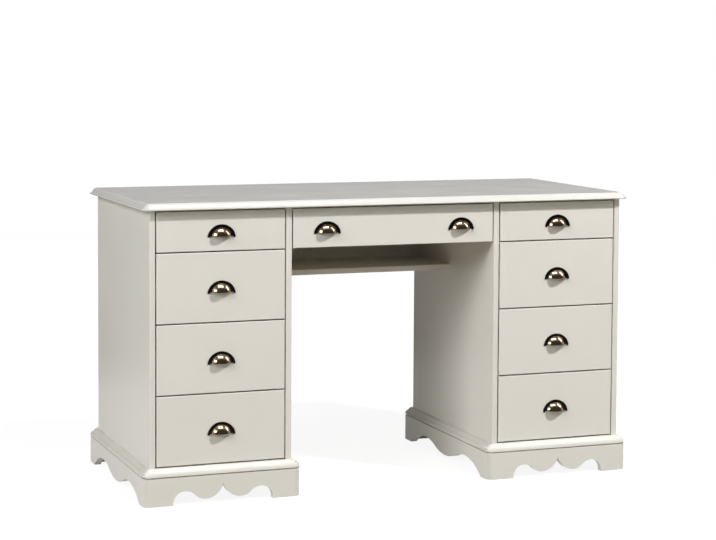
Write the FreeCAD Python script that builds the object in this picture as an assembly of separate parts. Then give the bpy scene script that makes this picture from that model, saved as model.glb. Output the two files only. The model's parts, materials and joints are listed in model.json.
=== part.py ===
import FreeCAD, Part
import math
import os

# Pedestal desk in lacquered wood: two pedestals of four drawers on scalloped plinths, one drawer and
# a shelf between them, and a moulded top over all. Sizes are in millimetres. X runs to the right,
# Y to the back and Z up. The origin lies on the floor under the middle of the desk.

# Overall size
desk_width = 1400.0
desk_depth = 600.0
desk_height = 784.0

# Top board with a shallow ogee along the front and both ends, turned round the front corners
top_thickness = 18.0
top_overhang = 21.0
rear_overhang = 11.0
nosing_round = 3.0
ogee_run = 18.0
ogee_swell = 0.08
corner_round = 25.0

# Pedestal carcasses
pedestal_width = 387.0
panel = 16.0
panel_round = 2.5
back_thickness = 6.0
back_rebate = 8.0
bottom_thickness = 12.0
rail_width = 70.0
rail_thickness = 16.0

# Plinths: four apron boards under a mitred cap, with a narrow groove below the cap
base_height = 96.0
cap_height = 19.5
cap_width = 55.0
cap_nosing = 9.5
cap_lean = 3.0
cap_swell = 0.07
cap_run = 19.0
plinth_overhang = 21.0
apron_setback = 0.5
apron_thickness = 18.0
quirk_height = 3.0
quirk_depth = 6.0
block_leg = 40.0
block_height = 55.0

# Scalloped edge of the front apron: runs from the middle out to the feet, rises from the floor
front_cusp_run = 48.5
front_arch_run = 31.5
front_arch_rise = 36.0
front_lobe_run = 55.5
front_lobe_rise = 12.5
front_cusp_rise = 51.0

# Scalloped edge of the side aprons
side_foot = 48.0
side_arch_run = 108.0
side_arch_rise = 38.0
side_lobe_rise = 10.0

# Kneehole shelf and the rail behind it
slot_height = 94.5
shelf_thickness = 16.0
shelf_setback = 298.0
shelf_round = 2.0
back_rail_thickness = 16.0
back_rail_inset = 10.0

# Drawers
reveal = 3.5
top_gap = 5.0
top_front_height = 104.0
lower_drawers = 3
front_thickness = 18.0
front_round = 1.5
box_side = 15.0
box_back = 12.0
box_gap = 6.0
box_room = 5.0
rear_room = 54.0
drawer_bottom = 5.0
bottom_inset = 10.0
bottom_groove = 6.0
groove_play = 0.25

# Hardwood battens that the drawer sides run on
runner_height = 16.0
runner_bite = 8.0
runner_end_play = 1.0
runner_seat_play = 0.3
runner_under_play = 0.7
runner_depth_play = 1.0

# Cup pulls
pull_width = 75.0
pull_height = 34.0
pull_projection = 17.0
flange_width = 6.0
flange_side = 9.0
flange_thickness = 2.2
flange_toe = 3.0
cup_wall = 1.6
centre_pull_inset = 95.0
post_spacing = 32.0
post_height = 9.0
post_radius = 3.2
pull_screw_radius = 2.0
pull_screw_grip = 5.0
pull_screw_head = 4.0
pull_screw_head_height = 2.4

# Countersunk assembly screws
screw_radius = 2.5
screw_head = 4.5
screw_head_height = 3.0
top_screw_length = 28.0
shelf_screw_length = 50.0
screw_inset = 45.0
screw_play = 0.05

# Places that follow from the sizes above
carcass_half = desk_width / 2 - top_overhang
knee_half = carcass_half - pedestal_width
front_face = -desk_depth / 2 + top_overhang
rear_face = desk_depth / 2 - rear_overhang
back_face = rear_face - back_thickness
under_top = desk_height - top_thickness
apron_height = base_height - cap_height
behind_fronts = front_face + front_thickness
box_rear = back_face - rear_room
row_top = under_top - top_gap
top_front_low = row_top - top_front_height
lower_front_height = (top_front_low - base_height - reveal) / lower_drawers - reveal
box_lift = bottom_thickness - reveal + box_room
box_drop = rail_thickness - reveal + box_room
runner_reach = box_gap + runner_bite
shelf_front = front_face + shelf_setback
back_rail_rear = rear_face - back_rail_inset
shelf_top = top_front_low - slot_height
side_arch = side_foot + side_arch_run
pull_half = pull_width / 2
flange_height = pull_height - flange_toe
dome_half = pull_half - flange_side
dome_height = flange_height - flange_width
dome_radius = (dome_half ** 2 + dome_height ** 2) / (2 * dome_height)
cup_drop = dome_radius - dome_height
cup_sink = (dome_radius ** 2 - cup_drop ** 2 - pull_projection ** 2) / (2 * pull_projection)
cup_radius = math.hypot(dome_radius, cup_sink)
tolerance = 1e-6


def vector(x, y, z):
    return FreeCAD.Vector(x, y, z)


def block(x_ends, y_ends, z_ends):
    """Box between two values on each axis, given in either order."""
    ends = [sorted(pair) for pair in (x_ends, y_ends, z_ends)]
    size = [high - low for low, high in ends]
    return Part.makeBox(size[0], size[1], size[2], vector(*[low for low, high in ends]))


def front_view(depth):
    """Places a flat outline in the plane that faces the front, at this depth."""
    return lambda across, height: vector(across, depth, height)


def side_view(across):
    """Places a flat outline in the plane that faces the side, at this X."""
    return lambda depth, height: vector(across, depth, height)


def plan_view(height):
    """Places a flat outline in a level plane at this height."""
    return lambda across, depth: vector(across, depth, height)


def outline(start, moves, place):
    """Closed face: a move of one point is a line, and one of two is an arc through the first."""
    edges = []
    here = place(*start)
    for move in moves + [(start,)]:
        points = [place(*point) for point in move]
        if here.distanceToPoint(points[-1]) < tolerance:
            continue
        if len(points) == 1:
            edges.append(Part.LineSegment(here, points[0]).toShape())
        else:
            edges.append(Part.Arc(here, points[0], points[1]).toShape())
        here = points[-1]
    return Part.Face(Part.Wire(edges))


def plan_prism(points, low, high):
    """Upright prism over a polygon given in plan."""
    moves = [(point,) for point in points[1:]]
    return outline(points[0], moves, plan_view(low)).extrude(vector(0, 0, high - low))


def level_arc_middle(level, end):
    """Middle of the arc that is level at its first point and passes through the second."""
    run = end[0] - level[0]
    rise = end[1] - level[1]
    radius = (run * run + rise * rise) / (2 * abs(rise))
    half_turn = math.atan2(abs(rise), abs(run))
    across = radius * math.sin(half_turn)
    up = radius * (1 - math.cos(half_turn))
    return (level[0] + math.copysign(across, run), level[1] + math.copysign(up, rise))


def arc_to_level(start, level):
    """Arc from a corner to a point where the curve is level."""
    return [(level_arc_middle(level, start), level)]


def arc_from_level(level, end):
    """Arc from a point where the curve is level to a corner."""
    return [(level_arc_middle(level, end), end)]


def s_curve(start, end):
    """Two equal arcs between two points at which the curve is level."""
    middle = ((start[0] + end[0]) / 2, (start[1] + end[1]) / 2)
    return arc_from_level(start, middle) + arc_to_level(middle, end)


def swelling_arc(start, end, swell):
    """Arc whose middle stands off its chord by a share of the chord, to the left of the way along it."""
    across = end[0] - start[0]
    up = end[1] - start[1]
    middle = ((start[0] + end[0]) / 2 - swell * up, (start[1] + end[1]) / 2 + swell * across)
    return [(middle, end)]


def shallow_ogee(start, end, inward):
    """Hollow arc and then a round one, up from a step to the flat of a board."""
    middle = ((start[0] + end[0]) / 2, (start[1] + end[1]) / 2)
    swell = inward * ogee_swell
    return swelling_arc(start, middle, -swell) + swelling_arc(middle, end, swell)


def parallel_edges(shape, axis, chosen):
    """Straight edges along one axis whose two ends both pass the test."""
    found = []
    for edge in shape.Edges:
        ends = [vertex.Point for vertex in edge.Vertexes]
        if len(ends) == 2 and all(chosen(end) for end in ends):
            if abs((ends[1] - ends[0]).normalize().dot(axis)) > 1 - tolerance:
                found.append(edge)
    return found


def round_front(shape, depth, radius, axes):
    """Rounds the edges of a board that lie in the plane facing the front, along the given axes."""
    edges = []
    for axis in axes:
        edges += parallel_edges(shape, axis, lambda end: abs(end.y - depth) < tolerance)
    return shape.makeFillet(radius, edges)


def moulded_slab(x_ends, y_ends, z_ends, edge):
    """Slab with one moulding along the front and both ends, mitred where they meet."""
    left, right = x_ends
    front, rear = y_ends
    low, high = z_ends
    start, moves = edge(front, 1, low)
    section = outline(start, moves + [((rear, high),), ((rear, low),)], side_view(left))
    slab = section.extrude(vector(right - left, 0, 0))
    for tip, far, inward in ((left, right, 1), (right, left, -1)):
        start, moves = edge(tip, inward, low)
        section = outline(start, moves + [((far, high),), ((far, low),)], front_view(front))
        slab = slab.common(section.extrude(vector(0, rear - front, 0)))
    return slab


def top_edge(tip, inward, low):
    """Moulding of the top: a rounded lower edge and a shallow ogee from its tip up to the flat."""
    start = (tip + inward * nosing_round, low)
    nosing = (tip, low + nosing_round)
    ogee_end = (tip + inward * ogee_run, low + top_thickness)
    return start, arc_from_level(start, nosing) + shallow_ogee(nosing, ogee_end, inward)


def cap_edge(tip, inward, low):
    """Moulding of the plinth cap: a rounded nosing that leans in, and a shallow ogee."""
    start = (tip, low)
    shoulder = (tip + inward * cap_lean, low + cap_nosing)
    ogee_end = (tip + inward * cap_run, low + cap_height)
    nosing = swelling_arc(start, shoulder, inward * cap_swell)
    return start, nosing + shallow_ogee(shoulder, ogee_end, inward)


def screw(seat, direction, length, play):
    """Countersunk screw with its head flush at the seat; with play it is the hole for one."""
    shank = Part.makeCylinder(screw_radius + play, length + play, seat, direction)
    head = Part.makeCone(screw_head + play, screw_radius + play, screw_head_height, seat, direction)
    return shank.fuse(head).removeSplitter()


def top_screw_seats(sign):
    """Heads of the screws that hold the top, under the two rails of one pedestal."""
    middle = sign * (carcass_half + knee_half) / 2
    reach = pedestal_width / 2 - panel - screw_inset
    depths = (behind_fronts + rail_width / 2, back_face - rail_width / 2)
    height = under_top - rail_thickness
    return [vector(middle + side * reach, depth, height) for depth in depths for side in (-1, 1)]


def top_screws(sign, play):
    return [screw(seat, vector(0, 0, 1), top_screw_length, play) for seat in top_screw_seats(sign)]


def kneehole_screws(sign, play):
    """Screws from inside one pedestal into the ends of the kneehole shelf and back rail."""
    seat_x = sign * (knee_half + panel)
    shelf_z = shelf_top - shelf_thickness / 2
    rail_y = back_rail_rear - back_rail_thickness / 2
    seats = [vector(seat_x, depth, shelf_z) for depth in (shelf_front + screw_inset, rail_y - screw_inset)]
    seats += [vector(seat_x, rail_y, height) for height in (shelf_top + screw_inset, under_top - screw_inset)]
    return [screw(seat, vector(-sign, 0, 0), shelf_screw_length, play) for seat in seats]


def cut_all(shape, tools):
    for tool in tools:
        shape = shape.cut(tool)
    return shape


def turned_corner(pivot, side):
    """Quarter turn of the top's section about the pivot of one front corner."""
    start, moves = top_edge(pivot.y - corner_round, 1, under_top)
    moves += [((pivot.y, desk_height),), ((pivot.y, under_top),)]
    section = outline(start, moves, side_view(pivot.x))
    return section.revolve(pivot, vector(0, 0, side), 90)


def desktop():
    """One board, with its front corners cut away and turned again to a radius."""
    half = desk_width / 2
    front = -desk_depth / 2
    slab = moulded_slab((-half, half), (front, desk_depth / 2), (under_top, desk_height), top_edge)
    for side in (-1, 1):
        pivot = vector(side * (half - corner_round), front + corner_round, 0)
        slab = slab.cut(block((pivot.x, side * half), (front, pivot.y), (under_top, desk_height)))
        slab = slab.fuse(turned_corner(pivot, side))
    return cut_all(slab.removeSplitter(), top_screws(-1, screw_play) + top_screws(1, screw_play))


def side_panel(outer, inward):
    """Upright panel with rounded front edges and a rebate for the back."""
    inner = outer + inward * panel
    board = block((outer, inner), (front_face, rear_face), (base_height, under_top))
    board = round_front(board, front_face, panel_round, [vector(0, 0, 1)])
    rebate = block((inner, inner - inward * back_rebate), (back_face, rear_face), (base_height, under_top))
    return board.cut(rebate)


def inner_panel(sign):
    board = side_panel(sign * knee_half, sign)
    return cut_all(board, kneehole_screws(sign, screw_play))


def inside_faces(sign):
    """X of the two facing sides of one pedestal, outer side first."""
    return sign * (carcass_half - panel), sign * (knee_half + panel)


def back_panel(sign):
    outer, inner = inside_faces(sign)
    reach = sign * back_rebate
    return block((outer + reach, inner - reach), (back_face, rear_face), (base_height, under_top))


def bottom_panel(sign):
    depth = (behind_fronts + runner_end_play, back_face)
    return block(inside_faces(sign), depth, (base_height, base_height + bottom_thickness))


def top_rails(sign):
    """Front and rear rails that the top is screwed to."""
    rails = []
    for front in (behind_fronts, back_face - rail_width):
        height = (under_top - rail_thickness, under_top)
        rail = block(inside_faces(sign), (front, front + rail_width), height)
        rails.append(cut_all(rail, top_screws(sign, screw_play)))
    return Part.makeCompound(rails)


def plinth_box(sign):
    """Outer edges of one plinth in plan: low and high X, front and rear Y."""
    ends = sorted((sign * (carcass_half + plinth_overhang), sign * (knee_half - plinth_overhang)))
    return ends[0], ends[1], front_face - plinth_overhang, rear_face + rear_overhang


def ring_pieces(edges, width):
    """Plan outlines of a frame: front and sides mitred at the front, rear between the sides."""
    left, right, front, rear = edges
    inner_left, inner_right, inner_front = left + width, right - width, front + width
    inner_rear = rear - width
    return {
        "front": [(left, front), (right, front), (inner_right, inner_front), (inner_left, inner_front)],
        "left": [(left, front), (inner_left, inner_front), (inner_left, rear), (left, rear)],
        "right": [(right, front), (inner_right, inner_front), (inner_right, rear), (right, rear)],
        "rear": [(inner_left, inner_rear), (inner_right, inner_rear), (inner_right, rear), (inner_left, rear)],
    }


def plinth_cap(sign):
    """Four moulded rails round the top of one plinth, which the carcass stands on."""
    edges = plinth_box(sign)
    slab = moulded_slab(edges[:2], edges[2:], (apron_height, base_height), cap_edge)
    pieces = ring_pieces(edges, cap_width).values()
    rails = [slab.common(plan_prism(piece, apron_height, base_height)) for piece in pieces]
    return Part.makeCompound(rails)


def apron_edges(sign):
    left, right, front, rear = plinth_box(sign)
    return left + apron_setback, right - apron_setback, front + apron_setback, rear


def quirk(edges):
    """Groove round the front and sides of one plinth, just under the cap."""
    left, right, front, rear = edges
    heights = (apron_height - quirk_height, apron_height)
    core = block((left + quirk_depth, right - quirk_depth), (front + quirk_depth, rear), heights)
    return block((left, right), (front, rear), heights).cut(core)


def scallop(half_moves, start, length):
    """Lower edge of an apron from end to end: the first half and its mirror image."""
    flip = lambda point: (2 * start + length - point[0], point[1])
    ends = [(start, 0.0)] + [move[-1] for move in half_moves]
    mirrored = []
    for index in range(len(half_moves) - 1, -1, -1):
        arc_points = [flip(point) for point in half_moves[index][:-1]]
        mirrored.append(tuple(arc_points + [flip(ends[index])]))
    return half_moves + mirrored


def apron_outline(half_moves, start, length, place):
    """Apron board with a scalloped lower edge and a straight upper one."""
    moves = scallop(half_moves, start, length)
    moves += [((start + length, apron_height),), ((start, apron_height),)]
    return outline((start, 0.0), moves, place)


def front_apron(sign):
    """Two lobes that rise to a pointed cusp in the middle, between two plain feet."""
    edges = apron_edges(sign)
    left, right, front, rear = edges
    cusp = ((left + right) / 2, front_cusp_rise)
    lobe = (cusp[0] - front_cusp_run, front_lobe_rise)
    arch = (lobe[0] - front_lobe_run, front_arch_rise)
    foot = (arch[0] - front_arch_run, 0.0)
    half = [(foot,)] + arc_to_level(foot, arch) + s_curve(arch, lobe) + arc_from_level(lobe, cusp)
    board = apron_outline(half, left, right - left, front_view(front))
    board = board.extrude(vector(0, apron_thickness, 0))
    mitre = plan_prism(ring_pieces(edges, apron_thickness)["front"], 0.0, apron_height)
    return board.common(mitre).cut(quirk(edges))


def side_aprons(sign):
    """Two boards, each with one broad lobe between its arches, mitred to the front apron."""
    edges = apron_edges(sign)
    left, right, front, rear = edges
    foot = (front + side_foot, 0.0)
    arch = (front + side_arch, side_arch_rise)
    lobe = ((front + rear) / 2, side_lobe_rise)
    half = [(foot,)] + arc_to_level(foot, arch) + s_curve(arch, lobe)
    boards = []
    for name, near in (("left", left), ("right", right - apron_thickness)):
        board = apron_outline(half, front, rear - front, side_view(near))
        board = board.extrude(vector(apron_thickness, 0, 0))
        mitre = plan_prism(ring_pieces(edges, apron_thickness)[name], 0.0, apron_height)
        boards.append(board.common(mitre).cut(quirk(edges)))
    return Part.makeCompound(boards)


def rear_apron(sign):
    return plan_prism(ring_pieces(apron_edges(sign), apron_thickness)["rear"], 0.0, apron_height)


def corner_blocks(sign):
    """Glue blocks in the four inner corners of one plinth, up against the cap."""
    left, right, front, rear = apron_edges(sign)
    columns = ((left + apron_thickness, 1), (right - apron_thickness, -1))
    rows = ((front + apron_thickness, 1), (rear - apron_thickness, -1))
    blocks = []
    for x, across in columns:
        for y, along in rows:
            corner = [(x, y), (x + across * block_leg, y), (x, y + along * block_leg)]
            blocks.append(plan_prism(corner, apron_height - block_height, apron_height))
    return blocks


def kneehole_shelf():
    height = (shelf_top - shelf_thickness, shelf_top)
    board = block((-knee_half, knee_half), (shelf_front, rear_face), height)
    board = round_front(board, shelf_front, shelf_round, [vector(1, 0, 0)])
    return cut_all(board, kneehole_screws(-1, screw_play) + kneehole_screws(1, screw_play))


def kneehole_back_rail():
    depth = (back_rail_rear - back_rail_thickness, back_rail_rear)
    board = block((-knee_half, knee_half), depth, (shelf_top, under_top))
    return cut_all(board, kneehole_screws(-1, screw_play) + kneehole_screws(1, screw_play))


def drawer_rows():
    """Low edge and height of each drawer front in a pedestal, from the top down."""
    rows = [(top_front_low, top_front_height)]
    for index in range(lower_drawers):
        low = top_front_low - (index + 1) * (lower_front_height + reveal)
        rows.append((low, lower_front_height))
    return rows


def drawer_places():
    """Name, opening in X, low edge and height of the front, and X of the pulls, of each drawer."""
    places = []
    for side, sign in (("left", -1), ("right", 1)):
        opening = sorted(inside_faces(sign))
        middle = sum(opening) / 2
        for index, (low, height) in enumerate(drawer_rows()):
            places.append((f"{side}_drawer_{index + 1}", opening, low, height, [middle]))
    reach = knee_half - reveal - centre_pull_inset
    pulls = [-reach, reach]
    places.append(("centre_drawer", [-knee_half, knee_half], top_front_low, top_front_height, pulls))
    return places


def box_heights(low, height):
    """Lower and upper edge of a drawer box behind its front."""
    return low + box_lift, low + height - box_drop


def runner_middle(low, height):
    return sum(box_heights(low, height)) / 2


def drawer_runners():
    """Two battens for each drawer, fixed to the faces of its opening."""
    battens = []
    for name, opening, low, height, pulls in drawer_places():
        middle = runner_middle(low, height)
        heights = (middle - runner_height / 2, middle + runner_height / 2)
        depth = (behind_fronts + runner_end_play, box_rear)
        for face, inward in zip(opening, (1, -1)):
            battens.append(block((face, face + inward * runner_reach), depth, heights))
    return Part.makeCompound(battens)


def bottom_heights(low):
    """Lower and upper face of a drawer's bottom board."""
    under = low + box_lift + bottom_inset
    return under, under + drawer_bottom


def bottom_space(opening, low, play):
    """Space of a drawer's bottom board; with play it is the groove that the board slides in."""
    reach = box_gap + box_side - bottom_groove
    across = (opening[0] + reach - play, opening[1] - reach + play)
    under, over = bottom_heights(low)
    return block(across, (behind_fronts - bottom_groove - play, box_rear), (under - play, over + play))


def pull_seats(low, height, pulls):
    """Middle of the lip of each pull, on the face of the front."""
    lip = low + (height - pull_height) / 2 + flange_toe
    return [vector(x, front_face, lip) for x in pulls]


def post_points(seat):
    """Axis of the two fixing posts inside one pull, on the face of the front."""
    return [seat + vector(side * post_spacing / 2, 0, post_height) for side in (-1, 1)]


def drawer_front(opening, low, height, pulls):
    """Inset front with softened edges, grooved for the bottom and bored for the pulls."""
    across = (opening[0] + reveal, opening[1] - reveal)
    board = block(across, (front_face, behind_fronts), (low, low + height))
    board = round_front(board, front_face, front_round, [vector(1, 0, 0), vector(0, 0, 1)])
    board = board.cut(bottom_space(opening, low, groove_play))
    for seat in pull_seats(low, height, pulls):
        for point in post_points(seat):
            radius = pull_screw_radius + groove_play
            board = board.cut(Part.makeCylinder(radius, front_thickness, point, vector(0, 1, 0)))
    return board


def drawer_box(opening, low, height):
    """Two grooved sides and a back that stands on the bottom board."""
    under, over = box_heights(low, height)
    middle = runner_middle(low, height)
    groove_heights = (
        middle - runner_height / 2 - runner_under_play, middle + runner_height / 2 + runner_seat_play)
    groove = bottom_space(opening, low, groove_play)
    boards = []
    for face, inward in zip(opening, (1, -1)):
        outer = face + inward * box_gap
        side = block((outer, outer + inward * box_side), (behind_fronts, box_rear), (under, over))
        slot_depth = runner_bite + runner_depth_play
        slot = block((outer, outer + inward * slot_depth), (behind_fronts, box_rear), groove_heights)
        boards.append(side.cut(slot).cut(groove))
    inset = box_gap + box_side
    across = (opening[0] + inset, opening[1] - inset)
    boards.append(block(across, (box_rear - box_back, box_rear), (bottom_heights(low)[1], over)))
    return Part.makeCompound(boards)


def cup_pull(seat):
    """Cast cup, open below, with a flat flange round it and two posts for the fixing screws."""
    centre = seat + vector(0, cup_sink, -cup_drop)
    outside = Part.makeSphere(cup_radius, centre)
    hollow = Part.makeSphere(cup_radius - cup_wall, centre)
    on_seat = lambda across, up: seat + vector(across, 0, up)
    plate = outline((-pull_half, 0.0), [((0.0, flange_height), (pull_half, 0.0))], on_seat)
    body = outside.fuse(plate.extrude(vector(0, -flange_thickness, 0))).cut(hollow)
    for side in (-1, 1):
        toe = seat + vector(side * (pull_half - flange_toe), 0, 0)
        body = body.fuse(Part.makeCylinder(flange_toe, flange_thickness, toe, vector(0, -1, 0)))
    for point in post_points(seat):
        post = Part.makeCylinder(post_radius, pull_projection, point, vector(0, -1, 0))
        body = body.fuse(post.common(outside))
    wide = pull_width
    in_front = block(
        (seat.x - wide, seat.x + wide), (seat.y - wide, seat.y), (seat.z - flange_toe, seat.z + wide))
    between_toes = pull_half - 2 * flange_toe
    under = block(
        (seat.x - between_toes, seat.x + between_toes), (seat.y - wide, seat.y), (seat.z - wide, seat.z))
    body = body.common(in_front).cut(under)
    for point in post_points(seat):
        hole = Part.makeCylinder(pull_screw_radius + screw_play, pull_screw_grip, point, vector(0, -1, 0))
        body = body.cut(hole)
    return body.removeSplitter()


def pull_screw(point):
    """Machine screw from inside the drawer into a post of the pull."""
    tip = point - vector(0, pull_screw_grip, 0)
    shank = Part.makeCylinder(pull_screw_radius, front_thickness + pull_screw_grip, tip, vector(0, 1, 0))
    seat = point + vector(0, front_thickness, 0)
    head = Part.makeCylinder(pull_screw_head, pull_screw_head_height, seat, vector(0, 1, 0))
    return shank.fuse(head).removeSplitter()


def drawer_pull(low, height, pulls):
    """The pulls of one drawer, each with its two screws."""
    solids = []
    for seat in pull_seats(low, height, pulls):
        solids.append(cup_pull(seat))
        solids += [pull_screw(point) for point in post_points(seat)]
    return Part.makeCompound(solids)


def pedestal_nodes(side, sign):
    return {
        f"{side}_outer_side": side_panel(sign * carcass_half, -sign),
        f"{side}_inner_side": inner_panel(sign),
        f"{side}_back_panel": back_panel(sign),
        f"{side}_bottom_panel": bottom_panel(sign),
        f"{side}_top_rails": top_rails(sign),
        f"{side}_plinth_cap": plinth_cap(sign),
        f"{side}_front_apron": front_apron(sign),
        f"{side}_side_aprons": side_aprons(sign),
        f"{side}_rear_apron": rear_apron(sign),
    }


def drawer_nodes(name, opening, low, height, pulls):
    return {
        f"{name}_front": drawer_front(opening, low, height, pulls),
        f"{name}_box": drawer_box(opening, low, height),
        f"{name}_bottom": bottom_space(opening, low, 0.0),
        f"{name}_pull": drawer_pull(low, height, pulls),
    }


def desk_nodes():
    screws = []
    blocks = []
    for sign in (-1, 1):
        screws += top_screws(sign, 0.0) + kneehole_screws(sign, 0.0)
        blocks += corner_blocks(sign)
    nodes = {
        "desktop": desktop(),
        "kneehole_shelf": kneehole_shelf(),
        "kneehole_back_rail": kneehole_back_rail(),
        "drawer_runners": drawer_runners(),
        "assembly_screws": Part.makeCompound(screws),
        "plinth_corner_blocks": Part.makeCompound(blocks),
    }
    for side, sign in (("left", -1), ("right", 1)):
        nodes.update(pedestal_nodes(side, sign))
    for place in drawer_places():
        nodes.update(drawer_nodes(*place))
    return nodes


os.makedirs("parts", exist_ok=True)
for node_name, shape in desk_nodes().items():
    shape.exportStep(f"parts/{node_name}.step")
    print(node_name, len(shape.Solids), round(shape.Volume / 1000, 1), shape.isValid())
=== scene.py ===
# %% [markdown]
# # A white pedestal desk
# This lesson dresses a desk that was built as solid boards: two stacks of drawers on scalloped plinths, a
# drawer and a shelf between them, and a moulded top. The boards arrive with their true shapes, so they only
# need a finish. The cup pulls are small polished castings that the eye goes to first, so they are modelled
# here as meshes.

# %% load the boards
import json
import math
import bpy
from mathutils import Matrix, Vector

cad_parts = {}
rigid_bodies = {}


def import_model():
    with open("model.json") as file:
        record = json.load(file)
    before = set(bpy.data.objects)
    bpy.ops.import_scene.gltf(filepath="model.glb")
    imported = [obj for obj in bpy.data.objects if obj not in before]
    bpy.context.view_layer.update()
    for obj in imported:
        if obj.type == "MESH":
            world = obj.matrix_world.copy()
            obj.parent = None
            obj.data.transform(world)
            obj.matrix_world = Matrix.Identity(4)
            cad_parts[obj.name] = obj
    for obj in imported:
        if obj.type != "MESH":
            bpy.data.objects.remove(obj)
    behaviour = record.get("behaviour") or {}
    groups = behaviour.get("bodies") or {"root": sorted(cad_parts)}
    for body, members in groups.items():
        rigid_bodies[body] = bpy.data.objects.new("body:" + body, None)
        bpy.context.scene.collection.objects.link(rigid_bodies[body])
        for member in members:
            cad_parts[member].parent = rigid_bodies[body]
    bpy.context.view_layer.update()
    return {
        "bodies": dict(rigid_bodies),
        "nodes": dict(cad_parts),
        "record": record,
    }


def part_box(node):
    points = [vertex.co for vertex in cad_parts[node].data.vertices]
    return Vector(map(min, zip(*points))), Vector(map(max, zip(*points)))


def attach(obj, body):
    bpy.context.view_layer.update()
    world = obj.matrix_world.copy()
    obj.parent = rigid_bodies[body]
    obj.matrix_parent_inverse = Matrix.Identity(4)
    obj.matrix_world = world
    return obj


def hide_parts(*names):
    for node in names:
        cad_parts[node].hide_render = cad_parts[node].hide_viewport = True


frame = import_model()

MM = 0.001

# %% [markdown]
# ## The camera
# A picture of furniture is taken from far off with a long lens, so that upright edges stay upright. The
# place and the turn of this camera were solved from the edges of the desk. A little lens shift frames the
# whole desk without tipping the camera, as a shift lens does.

# %% camera
camera_place = Vector((-1.94902, -5.11086, 1.19995))
camera_yaw = 0.36412
camera_pitch = -0.06546
camera_roll = 0.00575
lens_mm = 97.933
shift_up = -0.14

camera_data = bpy.data.cameras.new("studio_camera")
camera_data.lens = lens_mm
camera_data.shift_y = shift_up
camera = bpy.data.objects.new("studio_camera", camera_data)
bpy.context.scene.collection.objects.link(camera)
turn = Matrix.Rotation(-camera_yaw, 4, "Z")
tilt = Matrix.Rotation(math.pi / 2 + camera_pitch, 4, "X")
roll = Matrix.Rotation(camera_roll, 4, "Z")
camera.matrix_world = Matrix.Translation(camera_place) @ turn @ tilt @ roll
bpy.context.scene.camera = camera
bpy.context.scene.view_settings.view_transform = "Standard"
print("camera is", round(camera_place.length, 2), "m from the middle of the desk")

# %% [markdown]
# ## Node trees in a few words
# Every finish below is a small network of nodes. One function adds a node, sets its options and fills its
# sockets: a socket gets a plain value, or a link when the value is another node's output. Colours are
# written as the hex values that a screen shows, and one function turns them into the linear light that
# Blender counts with.

# %% node and colour helpers
def linear(hex_colour):
    channels = [int(hex_colour[i:i + 2], 16) / 255 for i in (1, 3, 5)]
    return [c / 12.92 if c <= 0.04045 else ((c + 0.055) / 1.055) ** 2.4 for c in channels] + [1.0]


def add(tree, kind, sockets, **options):
    node = tree.nodes.new(kind)
    for name, value in options.items():
        setattr(node, name, value)
    for name, value in sockets.items():
        if isinstance(value, bpy.types.NodeSocket):
            tree.links.new(value, node.inputs[name])
        else:
            node.inputs[name].default_value = value
    return node


def new_tree(owner):
    owner.use_nodes = True
    owner.node_tree.nodes.clear()
    return owner.node_tree


print("white is", [round(v, 3) for v in linear("#ffffff")])

# %% [markdown]
# ## The white room
# The surroundings are white wherever they are looked at, straight or in a reflection, but they give the
# desk only a trace of that light. The Light Path node tells those two uses apart. So the background is
# white and the boards still have a lit side and a shaded side.

# %% world
sky_light = 0.03


def seen_directly(tree):
    path = add(tree, "ShaderNodeLightPath", {})
    eye = path.outputs["Is Camera Ray"]
    for name in ("Is Glossy Ray", "Is Transmission Ray"):
        eye = add(tree, "ShaderNodeMath", {0: eye, 1: path.outputs[name]}, operation="MAXIMUM").outputs[0]
    return eye


world = bpy.data.worlds.new("white_room")
bpy.context.scene.world = world
tree = new_tree(world)
seen = seen_directly(tree)
strength = add(tree, "ShaderNodeMapRange", {"Value": seen, "To Min": sky_light, "To Max": 1.0})
sky = add(tree, "ShaderNodeBackground", {"Color": linear("#ffffff"), "Strength": strength.outputs[0]})
add(tree, "ShaderNodeOutputWorld", {"Surface": sky.outputs[0]})
print("sky light on the desk:", sky_light)

# %% [markdown]
# ## The floor
# A pale, slightly warm matt floor throws light up at the boards, as a roll of paper does. For the eye it is
# a little brighter and its shadow is thinned, so that it melts into the white background while a trace of
# the shadow stays.

# %% floor
floor_size = 80.0
floor_lift = 0.9
lift_start = 2.5
lift_end = 9.0
floor_drop = 0.2 * MM
speckle_size = 111.0 * MM

bpy.ops.object.select_all(action="DESELECT")
bpy.ops.mesh.primitive_plane_add(size=floor_size, location=(0, 0, -floor_drop))
floor = bpy.context.object
floor.name = "studio_floor"
paint = bpy.data.materials.new("matt_floor_paint")
tree = new_tree(paint)
place = add(tree, "ShaderNodeTexCoord", {})
reach = add(tree, "ShaderNodeVectorMath", {0: place.outputs["Object"]}, operation="LENGTH")
lift = add(tree, "ShaderNodeMapRange", {
    "Value": reach.outputs["Value"], "From Min": lift_start, "From Max": lift_end,
    "To Min": floor_lift, "To Max": 1.0})
speckle = add(tree, "ShaderNodeTexNoise", {
    "Vector": place.outputs["Object"], "Scale": 1 / speckle_size, "Detail": 4.0})
tone = add(tree, "ShaderNodeMix", {0: speckle.outputs[0], 6: linear("#aca79c"), 7: linear("#b2ada2")},
           data_type="RGBA")
thin = add(tree, "ShaderNodeMix", {0: speckle.outputs[0], 6: linear("#767675"), 7: linear("#7a7a79")},
           data_type="RGBA")
matt = add(tree, "ShaderNodeBsdfDiffuse", {"Color": tone.outputs[2]})
shade = add(tree, "ShaderNodeBsdfDiffuse", {"Color": thin.outputs[2]})
light = add(tree, "ShaderNodeEmission", {"Strength": lift.outputs[0]})
both = add(tree, "ShaderNodeAddShader", {0: shade.outputs[0], 1: light.outputs[0]})
either = add(tree, "ShaderNodeMixShader", {0: seen_directly(tree), 1: matt.outputs[0], 2: both.outputs[0]})
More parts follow.
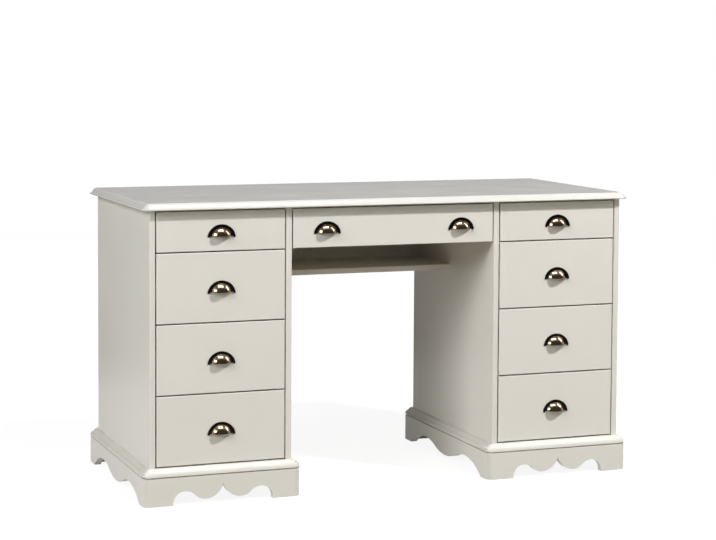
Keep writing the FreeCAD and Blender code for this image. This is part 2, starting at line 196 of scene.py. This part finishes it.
add(tree, "ShaderNodeOutputMaterial", {"Surface": either.outputs[0]})
floor.data.materials.append(paint)
print("floor:", floor_size, "m wide")

# %% [markdown]
# ## The lights
# A small lamp high on the right and in front draws a crisp shadow of the top on the drawer fronts. Since it
# is only a few metres off, the right pedestal gets more of it than the left, and the feet get less than the
# top. A wide soft box on the left lights the ends of the pedestals and the lower part of the kneehole, and
# a weaker one behind the desk lights the backs. None shows in reflections, which have cards of their own in
# the next step.

# %% lamps
desk_middle = Vector((0.0, 0.0, 0.4))


def lamp_panel(name, place, power, width, height):
    data = bpy.data.lights.new(name, "AREA")
    data.shape = "RECTANGLE"
    data.energy = power
    data.size = width
    data.size_y = height
    lamp = bpy.data.objects.new(name, data)
    lamp.location = place
    lamp.rotation_euler = (Vector(place) - desk_middle).to_track_quat("Z", "Y").to_euler()
    lamp.visible_camera = False
    lamp.visible_glossy = False
    bpy.context.scene.collection.objects.link(lamp)
    return lamp


key = lamp_panel("key_lamp", (2.62, -2.84, 4.33), power=260.0, width=0.4, height=0.3)
fill = lamp_panel("fill_lamp", (-4.4, -2.3, 2.9), power=196.0, width=2.2, height=2.2)
rear = lamp_panel("rear_lamp", (1.0, 4.6, 3.2), power=60.0, width=3.0, height=2.0)
distances = [round((lamp.location - desk_middle).length, 2) for lamp in (key, fill, rear)]
print("lamps stand", distances, "m from the middle of the desk")

# %% [markdown]
# ## Cards for the reflections
# Polished things show what stands round them, so a photographer sets up cards that only the reflections can
# see. A grey card behind the desk gives the glossy top its tone, since it is looked at so flat that it
# mirrors whatever is behind it. A dark card in front and a dim one overhead keep the brass dark, and three
# bright ones draw the streaks on each cup.

# %% cards
def card(name, tone, width, height, place, aim):
    """Adds a glowing panel that faces a point, and that only reflections see."""
    bpy.ops.object.select_all(action="DESELECT")
    bpy.ops.mesh.primitive_plane_add(size=1.0)
    panel = bpy.context.object
    panel.name = name
    panel.scale = (width, height, 1.0)
    panel.location = place
    panel.rotation_euler = (Vector(place) - Vector(aim)).to_track_quat("Z", "Y").to_euler()
    shine = bpy.data.materials.new(name + "_face")
    tree = new_tree(shine)
    glow = add(tree, "ShaderNodeEmission", {"Strength": tone})
    add(tree, "ShaderNodeOutputMaterial", {"Surface": glow.outputs[0]})
    panel.data.materials.append(shine)
    panel.visible_camera = False
    panel.visible_diffuse = False
    panel.visible_transmission = False
    panel.visible_shadow = False


pulls_middle = (0.0, -0.3, 0.65)
card("grey_card", tone=0.33, width=16.0, height=6.0, place=(1.0, 1.6, 3.0), aim=(1.0, 0.0, 3.0))
card("dark_card", tone=0.13, width=30.0, height=6.9, place=(2.0, -6.0, 3.45), aim=(2.0, 0.0, 3.45))
card("ceiling_card", tone=0.65, width=16.0, height=12.0, place=(1.0, -2.0, 7.5), aim=(1.0, -2.0, 0.0))
card("bright_card_high", tone=13.0, width=3.8, height=1.6, place=(-0.3, -2.0, 5.4), aim=pulls_middle)
card("bright_card_left", tone=9.0, width=2.2, height=1.6, place=(-4.2, -2.25, 2.6), aim=pulls_middle)
card("bright_card_right", tone=9.0, width=1.3, height=2.8, place=(4.1, -1.1, 3.4), aim=pulls_middle)
print("six cards stand round the desk")

# %% [markdown]
# ## White lacquer
# The boards are sprayed with a warm white lacquer. A sprayed film is never quite even: it has broad, faint
# clouds of tone, and a fine ripple that painters call orange peel. Two noises give both. The clouds steer
# the colour and the roughness, and the ripple goes into the bump. The satin film is on the boards and the
# fronts, and a smoother one is on the top.

# %% satin and gloss lacquer
cloud_size = 140.0 * MM
peel_size = 2.4 * MM
peel_strength = 0.35
cloud_low = 0.3
cloud_high = 0.7
film_ior = 1.5


def lacquer(name, pale, deep, smooth, rough, peel_depth):
    material = bpy.data.materials.new(name)
    tree = new_tree(material)
    place = add(tree, "ShaderNodeTexCoord", {}).outputs["Object"]
    clouds = add(tree, "ShaderNodeTexNoise", {"Vector": place, "Scale": 1 / cloud_size, "Detail": 3.0})
    ripple = add(tree, "ShaderNodeTexNoise", {"Vector": place, "Scale": 1 / peel_size, "Detail": 2.0})
    tone = add(tree, "ShaderNodeMix", {0: clouds.outputs[0], 6: linear(deep), 7: linear(pale)},
               data_type="RGBA")
    gloss = add(tree, "ShaderNodeMapRange", {
        "Value": clouds.outputs[0], "From Min": cloud_low, "From Max": cloud_high,
        "To Min": smooth, "To Max": rough})
    peel = add(tree, "ShaderNodeBump", {
        "Height": ripple.outputs[0], "Strength": peel_strength, "Distance": peel_depth})
    film = add(tree, "ShaderNodeBsdfPrincipled", {
        "Base Color": tone.outputs[2], "Roughness": gloss.outputs[0], "IOR": film_ior,
        "Normal": peel.outputs[0]})
    add(tree, "ShaderNodeOutputMaterial", {"Surface": film.outputs[0]})
    return material


satin_lacquer = lacquer("satin_white_lacquer", pale="#e3e0d9", deep="#dedbd3", smooth=0.30, rough=0.40,
                        peel_depth=0.05 * MM)
gloss_lacquer = lacquer("polished_white_lacquer", pale="#e1dfd9", deep="#dcdad4", smooth=0.09, rough=0.15,
                        peel_depth=0.01 * MM)
print("lacquers:", satin_lacquer.name, gloss_lacquer.name)

# %% [markdown]
# ## Bare pine and beech
# Inside the drawers the wood is bare. Growth rings cut lengthways show as long streaks, so a noise is
# squeezed along the grain, and a second, finer one gives the pores. The grain of a drawer side runs from
# front to back and that of a drawer back runs across, so faces that look to the front or the back take the
# noise squeezed along X.

# %% pine and beech
pores_per_ring = 6
pore_depth = 0.12 * MM
pore_strength = 0.5
streak_low = 0.35
streak_high = 0.65
facing_limit = 0.5
wood_ior = 1.5


def timber(name, pale, deep, ring_size, stretch, rough):
    material = bpy.data.materials.new(name)
    tree = new_tree(material)
    place = add(tree, "ShaderNodeTexCoord", {})
    lengthways = add(tree, "ShaderNodeMapping", {
        "Vector": place.outputs["Object"], "Scale": (1, 1 / stretch, 1)})
    crossways = add(tree, "ShaderNodeMapping", {
        "Vector": place.outputs["Object"], "Scale": (1 / stretch, 1, 1)})
    facing = add(tree, "ShaderNodeSeparateXYZ", {"Vector": place.outputs["Normal"]})
    amount = add(tree, "ShaderNodeMath", {0: facing.outputs["Y"]}, operation="ABSOLUTE")
    is_back = add(tree, "ShaderNodeMath", {0: amount.outputs[0], 1: facing_limit},
                  operation="GREATER_THAN")
    grain = add(tree, "ShaderNodeMix", {
        0: is_back.outputs[0], 4: lengthways.outputs[0], 5: crossways.outputs[0]}, data_type="VECTOR")
    rings = add(tree, "ShaderNodeTexNoise", {
        "Vector": grain.outputs[1], "Scale": 1 / ring_size, "Detail": 3.0})
    pores = add(tree, "ShaderNodeTexNoise", {
        "Vector": grain.outputs[1], "Scale": pores_per_ring / ring_size, "Detail": 2.0})
    streaks = add(tree, "ShaderNodeMapRange", {
        "Value": rings.outputs[0], "From Min": streak_low, "From Max": streak_high})
    tone = add(tree, "ShaderNodeMix", {0: streaks.outputs[0], 6: linear(deep), 7: linear(pale)},
               data_type="RGBA")
    rise = add(tree, "ShaderNodeBump", {
        "Height": pores.outputs[0], "Strength": pore_strength, "Distance": pore_depth})
    wood = add(tree, "ShaderNodeBsdfPrincipled", {
        "Base Color": tone.outputs[2], "Roughness": rough, "IOR": wood_ior, "Normal": rise.outputs[0]})
    add(tree, "ShaderNodeOutputMaterial", {"Surface": wood.outputs[0]})
    return material


pine = timber("sanded_pine", pale="#dcbd8c", deep="#c39a63", ring_size=7.0 * MM, stretch=28.0, rough=0.55)
beech = timber("waxed_beech", pale="#c79a6c", deep="#b08055", ring_size=4.0 * MM, stretch=16.0, rough=0.35)
print("timbers:", pine.name, beech.name)

# %% [markdown]
# ## Coated hardboard
# The backs and the drawer bottoms are hardboard with a thin pale coat. The pressed fibres still show
# through as short flecks a few millimetres long.

# %% hardboard
fibre_size = 3.5 * MM
fibre_depth = 0.08 * MM
fibre_strength = 0.4
fleck_low = 0.35
fleck_high = 0.7
coat_rough = 0.5

hardboard = bpy.data.materials.new("coated_hardboard")
tree = new_tree(hardboard)
place = add(tree, "ShaderNodeTexCoord", {}).outputs["Object"]
fibres = add(tree, "ShaderNodeTexNoise", {
    "Vector": place, "Scale": 1 / fibre_size, "Detail": 5.0}).outputs[0]
flecks = add(tree, "ShaderNodeMapRange", {
    "Value": fibres, "From Min": fleck_low, "From Max": fleck_high}).outputs[0]
tone = add(tree, "ShaderNodeMix", {0: flecks, 6: linear("#cfc8bb"), 7: linear("#ddd8cd")}, data_type="RGBA")
press = add(tree, "ShaderNodeBump", {
    "Height": fibres, "Strength": fibre_strength, "Distance": fibre_depth})
coat = add(tree, "ShaderNodeBsdfPrincipled", {
    "Base Color": tone.outputs[2], "Roughness": coat_rough, "IOR": film_ior, "Normal": press.outputs[0]})
add(tree, "ShaderNodeOutputMaterial", {"Surface": coat.outputs[0]})
print("hardboard:", hardboard.name)

# %% [markdown]
# ## Antique brass and zinc
# The pulls are brass that was darkened chemically and then buffed, so the raised dome is a polished brown
# mirror. The flange is given a nearly black colour that is partly patina and partly a painted dark
# reflection of the room in front of it. The screws are bright zinc. In a metal the colour is in the
# reflection.

# %% metals
def metal(name, pale, deep, cloud, smooth, rough):
    material = bpy.data.materials.new(name)
    tree = new_tree(material)
    place = add(tree, "ShaderNodeTexCoord", {}).outputs["Object"]
    clouds = add(tree, "ShaderNodeTexNoise", {"Vector": place, "Scale": 1 / cloud, "Detail": 4.0}).outputs[0]
    tone = add(tree, "ShaderNodeMix", {0: clouds, 6: linear(deep), 7: linear(pale)}, data_type="RGBA")
    gloss = add(tree, "ShaderNodeMapRange", {
        "Value": clouds, "From Min": cloud_low, "From Max": cloud_high, "To Min": rough, "To Max": smooth})
    skin = add(tree, "ShaderNodeBsdfPrincipled", {
        "Base Color": tone.outputs[2], "Metallic": 1.0, "Roughness": gloss.outputs[0]})
    add(tree, "ShaderNodeOutputMaterial", {"Surface": skin.outputs[0]})
    return material


buffed_brass = metal("buffed_antique_brass", pale="#93846f", deep="#7d6e5c", cloud=14.0 * MM,
                     smooth=0.08, rough=0.13)
# near-black brass for the flange: partly patina, partly a painted dark reflection of the room in front
patina_and_dark_reflection_brass = metal("brass_patina_and_painted_dark_reflection", pale="#241f19", deep="#14110d", cloud=6.0 * MM,
                    smooth=0.30, rough=0.45)
zinc = metal("bright_zinc_plate", pale="#c4c5c4", deep="#a6a7a6", cloud=5.0 * MM,
             smooth=0.25, rough=0.38)
print("metals:", buffed_brass.name, patina_and_dark_reflection_brass.name, zinc.name)

# %% [markdown]
# ## Finishing the boards
# Each board names the finish it takes, and one table turns that name into a material. Only the top gets the
# polished lacquer, because it shines in the light while the other boards gleam.

# %% finish the boards
finishes = {"white_lacquer": satin_lacquer, "drawer_pine": pine, "hardboard": hardboard,
            "runner_beech": beech, "antique_brass": buffed_brass, "zinc_screw": zinc}
for board in frame["record"]["subparts"]:
    finish = gloss_lacquer if board["node"] == "desktop" else finishes[board["material_slot"]]
    for slot in frame["nodes"][board["node"]].material_slots:
        slot.material = finish

# %% [markdown]
# ## The cup of a pull
# A cup pull is a slice of a ball with a flat flange round it. The ball is cut by the plane of the flange
# and by the level of the lip. Its rim is drawn outwards into the flange, which is wider at the sides than
# over the crown, and the ends of the flange are drawn down into two round toes. All of it is one skin,
# which a Solidify modifier gives its thickness.

# %% measure the cup
pull_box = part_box("left_drawer_1_pull")
front_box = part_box("left_drawer_1_front")
pull_half = (pull_box[1].x - pull_box[0].x) / 2
projection = front_box[0].y - pull_box[0].y
toe = 3.0 * MM
rise = pull_box[1].z - pull_box[0].z - toe
flange_top = 6.0 * MM
flange_side = 9.0 * MM
flange_plate = 2.2 * MM
toe_round = 2.7 * MM

dome_half = pull_half - flange_side
dome_rise = rise - flange_top
dome_radius = (dome_half ** 2 + dome_rise ** 2) / (2 * dome_rise)
drop = dome_radius - dome_rise
sink = (dome_radius ** 2 - drop ** 2 - projection ** 2) / (2 * projection)
ball_radius = math.hypot(dome_radius, sink)
rim_radius = math.sqrt(ball_radius ** 2 - (sink + flange_plate) ** 2)
rim_half = math.sqrt(rim_radius ** 2 - drop ** 2)
print("ball of", round(ball_radius / MM, 1), "mm radius, rim", round(2 * rim_half / MM, 1), "mm wide")

# %% model the cup
touch = 0.02 * MM
weld = 0.005 * MM
same_point = 0.001 * MM


def chosen(test):
    """Selects the vertices that pass the test, and the edges and faces between them."""
    bpy.ops.mesh.select_mode(type="VERT")
    bpy.ops.mesh.select_all(action="DESELECT")
    bpy.ops.object.mode_set(mode="OBJECT")
    for vertex in bpy.context.object.data.vertices:
        vertex.select = test(vertex.co)
    bpy.ops.object.mode_set(mode="EDIT")
    bpy.ops.mesh.select_mode(type="VERT")


def near(a, b):
    return abs(a - b) < touch


bpy.ops.object.select_all(action="DESELECT")
bpy.ops.mesh.primitive_uv_sphere_add(segments=128, ring_count=64, radius=ball_radius,
                                     rotation=(math.pi / 2, 0, 0))
cup = bpy.context.object
cup.name = "cup"
bpy.ops.object.transform_apply(location=False, rotation=True, scale=False)
bpy.ops.object.mode_set(mode="EDIT")
bpy.ops.mesh.select_all(action="SELECT")
bpy.ops.transform.translate(value=(0, sink, -drop))
bpy.ops.mesh.bisect(plane_co=(0, 0, 0), plane_no=(0, 0, 1), clear_inner=True, threshold=same_point)
bpy.ops.mesh.select_all(action="SELECT")
bpy.ops.mesh.bisect(plane_co=(0, -flange_plate, 0), plane_no=(0, 1, 0), clear_outer=True,
                    threshold=same_point)
chosen(lambda co: near(co.y, -flange_plate))
bpy.ops.mesh.extrude_edges_move()
bpy.ops.transform.resize(value=(pull_half / rim_half, 1, rise / (rim_radius - drop)),
                         center_override=(0, 0, 0))
toe_start = pull_half - 2 * toe
for side in (-1, 1):
    bpy.ops.mesh.select_all(action="SELECT")
    bpy.ops.mesh.bisect(plane_co=(side * toe_start, 0, 0), plane_no=(1, 0, 0), threshold=same_point)
chosen(lambda co: near(co.z, 0) and abs(co.x) > toe_start - touch)
bpy.ops.mesh.extrude_edges_move(TRANSFORM_OT_translate={"value": (0, 0, -toe)})
chosen(lambda co: near(co.z, -toe))
bpy.ops.mesh.bevel(offset=toe_round, segments=8, affect="VERTICES")
bpy.ops.mesh.select_all(action="SELECT")
bpy.ops.mesh.remove_doubles(threshold=weld)
bpy.ops.mesh.normals_make_consistent(inside=False)
bpy.ops.object.mode_set(mode="OBJECT")
print("cup skin:", len(cup.data.vertices), "points,", [round(v / MM, 1) for v in cup.dimensions], "mm")

# %% [markdown]
# The skin gets its thickness towards the inside, and a narrow bevel softens every sharp edge, because a
# cast edge always has a small round that catches the light. The flange gets the near-black brass, which is
# partly patina and partly a painted dark reflection: its faces are picked by their place, flat against the
# front.

# %% thicken the cup and colour the flange
seat_gap = 0.05 * MM
edge_round = 0.45 * MM
sharp_edge = math.radians(35)
crease = math.radians(40)

solid = cup.modifiers.new("thickness", "SOLIDIFY")
solid.thickness = flange_plate - seat_gap
solid.offset = -1.0
soften = cup.modifiers.new("soft_edges", "BEVEL")
soften.width = edge_round
soften.segments = 3
soften.limit_method = "ANGLE"
soften.angle_limit = sharp_edge
for name in ("thickness", "soft_edges"):
    bpy.ops.object.modifier_apply(modifier=name)
cup.data.materials.append(buffed_brass)
cup.data.materials.append(patina_and_dark_reflection_brass)
flange_depth = flange_plate + seat_gap
# the flange faces get the near-black colour, which is patina plus a painted dark reflection
for face in cup.data.polygons:
    face.material_index = 1 if min(cup.data.vertices[i].co.y for i in face.vertices) > -flange_depth else 0
bpy.ops.object.shade_smooth_by_angle(angle=crease)
low = [min(v.co[i] for v in cup.data.vertices) / MM for i in range(3)]
high = [max(v.co[i] for v in cup.data.vertices) / MM for i in range(3)]
print("cup from", [round(v, 2) for v in low], "to", [round(v, 2) for v in high], "mm")

# %% [markdown]
# ## Posts and screws
# Two cast posts inside the cup reach back to the drawer front, and a machine screw comes through the front
# into each. The posts taper a little so that they leave the mould. The pan heads are rounded over, and each
# has a slot: a strip is cut out of the flat of the head and pushed in.

# %% posts and screw heads
post_spacing = 32.0 * MM
post_height = 9.0 * MM
post_radius = 3.2 * MM
post_length = 9.0 * MM
post_taper = 0.88
head_radius = 4.0 * MM
head_height = 2.4 * MM
head_round = 1.2 * MM
slot_half = 0.5 * MM
slot_reach = 2.2 * MM
slot_depth = 0.8 * MM
front_thickness = front_box[1].y - front_box[0].y


def turned(radius, start, end, x):
    """Adds a round bar along Y between two depths, and leaves it in edit mode with nothing selected."""
    bpy.ops.object.select_all(action="DESELECT")
    bpy.ops.mesh.primitive_cylinder_add(vertices=32, radius=radius, depth=end - start,
                                        rotation=(math.pi / 2, 0, 0),
                                        location=(x, (start + end) / 2, post_height))
    bpy.ops.object.transform_apply(location=True, rotation=True, scale=False)
    bpy.ops.object.mode_set(mode="EDIT")
    bpy.ops.mesh.select_all(action="DESELECT")
    return bpy.context.object


fittings = []
for side in (-1, 1):
    x = side * post_spacing / 2
    post = turned(post_radius, -post_length, -seat_gap, x)
    chosen(lambda co: near(co.y, -post_length))
    bpy.ops.transform.resize(value=(post_taper, 1, post_taper), center_override=(x, 0, post_height))
    bpy.ops.object.mode_set(mode="OBJECT")
    post.data.materials.append(patina_and_dark_reflection_brass)
    head_end = front_thickness + head_height
    head = turned(head_radius, front_thickness + seat_gap, head_end, x)
    chosen(lambda co: near(co.y, head_end))
    bpy.ops.mesh.bevel(offset=head_round, segments=5, affect="EDGES")
    chosen(lambda co: near(co.y, head_end))
    for edge, across in ((slot_half, (1, 0, 0)), (slot_reach, (0, 0, 1))):
        for end in (-1, 1):
            place = Vector((x, head_end, post_height)) + end * edge * Vector(across)
            bpy.ops.mesh.bisect(plane_co=place, plane_no=across, threshold=same_point)
            chosen(lambda co: near(co.y, head_end))
    chosen(lambda co: near(co.y, head_end) and abs(co.x - x) < slot_half + touch
           and abs(co.z - post_height) < slot_reach + touch)
    bpy.ops.mesh.extrude_region_move(TRANSFORM_OT_translate={"value": (0, -slot_depth, 0)})
    bpy.ops.mesh.select_all(action="SELECT")
    bpy.ops.mesh.normals_make_consistent(inside=False)
    bpy.ops.object.mode_set(mode="OBJECT")
    head.data.materials.append(zinc)
    fittings += [post, head]
for piece in fittings:
    piece.select_set(True)
cup.select_set(True)
bpy.context.view_layer.objects.active = cup
bpy.ops.object.join()
bpy.ops.object.shade_smooth_by_angle(angle=crease)
print("pull with posts and screws:", len(cup.data.polygons), "faces,",
      [slot.name for slot in cup.material_slots])

# %% [markdown]
# ## Seating the pulls
# Each drawer's pull goes where the built one is: the middle of its box, with the lip a toe above the lowest
# point. The wide drawer has two. A copy has its own mesh, so that it can be joined and moved without
# touching the others.

# %% copy the pulls to the drawers
def cup_at(x, y, z):
    copy = bpy.data.objects.new("cup_copy", cup.data.copy())
    bpy.context.scene.collection.objects.link(copy)
    copy.data.transform(Matrix.Translation((x, y, z)))
    return copy


drawers = [body for body in frame["bodies"] if "drawer" in body]
two_pulls = 4 * pull_half
for drawer in drawers:
    low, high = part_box(drawer + "_pull")
    front_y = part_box(drawer + "_front")[0].y
    middles = [(low.x + high.x) / 2]
    if high.x - low.x > two_pulls:
        middles = [low.x + pull_half, high.x - pull_half]
    cups = [cup_at(x, front_y, low.z + toe) for x in middles]
    bpy.ops.object.select_all(action="DESELECT")
    for piece in cups:
        piece.select_set(True)
    bpy.context.view_layer.objects.active = cups[0]
    if len(cups) > 1:
        bpy.ops.object.join()
    pull = bpy.context.view_layer.objects.active
    pull.name = drawer + "_cup_pull"
    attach(pull, drawer)
    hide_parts(drawer + "_pull")
bpy.data.objects.remove(cup)
print("pulls on", len(drawers), "drawers")

# %% [markdown]
# ## Pins in the backs
# The thin backs are nailed into the rebates of the sides, and into the rail above and the bottom below. A
# panel pin has a small flat head with a worn edge. One is modelled with a bevel and copied round each back.

# %% panel pins
pin_radius = 2.2 * MM
pin_height = 0.9 * MM
pin_round = 0.5 * MM
pin_crease = math.radians(50)
pin_inset = 4.0 * MM
pin_spacing = 95.0 * MM

bpy.ops.object.select_all(action="DESELECT")
bpy.ops.mesh.primitive_cylinder_add(vertices=16, radius=pin_radius, depth=pin_height,
                                    rotation=(math.pi / 2, 0, 0))
pin = bpy.context.object
bpy.ops.object.transform_apply(location=False, rotation=True, scale=False)
bpy.ops.object.mode_set(mode="EDIT")
chosen(lambda co: co.y > 0)
bpy.ops.mesh.bevel(offset=pin_round, segments=3, affect="EDGES")
bpy.ops.object.mode_set(mode="OBJECT")
bpy.ops.object.shade_smooth_by_angle(angle=pin_crease)
pin.data.materials.append(zinc)


def spread(start, end):
    """Evenly spaced places between two ends, both included, about a pin spacing apart."""
    count = max(1, round((end - start) / pin_spacing))
    return [start + (end - start) * i / count for i in range(count + 1)]


for side in ("left", "right"):
    low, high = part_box(side + "_back_panel")
    left, right, under, over = low.x + pin_inset, high.x - pin_inset, low.z + pin_inset, high.z - pin_inset
    places = [(x, z) for z in spread(under, over) for x in (left, right)]
    places += [(x, z) for x in spread(left, right)[1:-1] for z in (under, over)]
    bpy.ops.object.select_all(action="DESELECT")
    for x, z in places:
        copy = bpy.data.objects.new("pin_copy", pin.data.copy())
        bpy.context.scene.collection.objects.link(copy)
        copy.data.transform(Matrix.Translation((x, high.y + pin_height / 2, z)))
        copy.select_set(True)
    bpy.context.view_layer.objects.active = copy
    bpy.ops.object.join()
    copy.name = side + "_back_pins"
    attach(copy, "desk")
    print(copy.name, len(places))
bpy.data.objects.remove(pin)

# %% [markdown]
# ## Turned corners of the plinths
# The front corners of a plinth are rounded over once it is glued up, so the moulding and the scalloped
# skirt run round them without an edge. Here copies of the built boards get that round. Their mitres are
# opened so that the boards join into one skin, the corner is cut into strips, and each strip is turned
# about the middle of the round. Every point keeps its depth behind the outer edge, so the moulding has the
# same profile all the way round.

# %% how a corner is turned
corner_round = 20.0 * MM
corner_strips = 8
strip_margin = 1.5 * MM
mitre_tolerance = 0.01


def turn_point(co, edge_x, inward, edge_y):
    """Moves a point of the square corner to its place in the round one."""
    across, behind = inward * (co.x - edge_x), co.y - edge_y
    if max(across, behind) >= corner_round:
        return
    radius = corner_round - min(across, behind)
    angle = math.pi / 4 * (corner_round - max(across, behind)) / radius
    shallow = corner_round - radius * math.cos(angle)
    deep = corner_round - radius * math.sin(angle)
    if behind < across:
        across, behind = deep, shallow
    else:
        across, behind = shallow, deep
    co.x, co.y = edge_x + inward * across, edge_y + behind


def open_mitres():
    """Deletes the faces that look along a diagonal of the plan, which are the mitres."""
    bpy.ops.mesh.select_mode(type="FACE")
    bpy.ops.mesh.select_all(action="DESELECT")
    bpy.ops.object.mode_set(mode="OBJECT")
    for face in bpy.context.object.data.polygons:
        upright = abs(face.normal.z) < mitre_tolerance
        face.select = upright and abs(abs(face.normal.x) - abs(face.normal.y)) < mitre_tolerance
    bpy.ops.object.mode_set(mode="EDIT")
    bpy.ops.mesh.delete(type="FACE")


print("corners get a round of", round(corner_round / MM), "mm in", 2 * corner_strips, "strips")

# %% [markdown]
# The first two cuts at a corner, just outside the round, go right through the boards and keep the flat
# faces flat. The later ones only go through the corner.

# %% how a corner is cut into strips
outer_cut = corner_round + strip_margin
cuts = [outer_cut] + [corner_round * (1 - i / corner_strips) for i in range(corner_strips)]


def cut_corner(edge_x, inward, edge_y):
    """Cuts the mesh that is being edited into strips along both sides of a corner."""
    for cut in cuts:
        for place, across in (((edge_x + inward * cut, 0, 0), (1, 0, 0)), ((0, edge_y + cut, 0), (0, 1, 0))):
            chosen(lambda co: cut == outer_cut or (inward * (co.x - edge_x) < outer_cut + touch
                                                   and co.y - edge_y < outer_cut + touch))
            bpy.ops.mesh.bisect(plane_co=place, plane_no=across, threshold=same_point)


print("cuts at", [round(cut / MM, 1) for cut in cuts], "mm from the edge")

# %% turn the corners
for side in ("left", "right"):
    low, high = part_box(side + "_plinth_cap")
    for name, nodes in ((side + "_turned_cap", [side + "_plinth_cap"]),
                        (side + "_turned_skirt", [side + "_front_apron", side + "_side_aprons"])):
        bpy.ops.object.select_all(action="DESELECT")
        for node in nodes:
            plinth = bpy.data.objects.new(name, frame["nodes"][node].data.copy())
            bpy.context.scene.collection.objects.link(plinth)
            plinth.select_set(True)
        bpy.context.view_layer.objects.active = plinth
        if len(nodes) > 1:
            bpy.ops.object.join()
        bpy.ops.object.mode_set(mode="EDIT")
        bpy.ops.mesh.select_all(action="SELECT")
        bpy.ops.mesh.customdata_custom_splitnormals_clear()
        bpy.ops.mesh.remove_doubles(threshold=weld)
        open_mitres()
        cut_corner(low.x, 1, low.y)
        cut_corner(high.x, -1, low.y)
        bpy.ops.object.mode_set(mode="OBJECT")
        for vertex in plinth.data.vertices:
            turn_point(vertex.co, low.x, 1, low.y)
            turn_point(vertex.co, high.x, -1, low.y)
        bpy.ops.object.shade_smooth_by_angle(angle=crease)
        plinth.name = name
        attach(plinth, "desk")
        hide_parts(*nodes)
        print(plinth.name, "has", len(plinth.data.polygons), "faces")
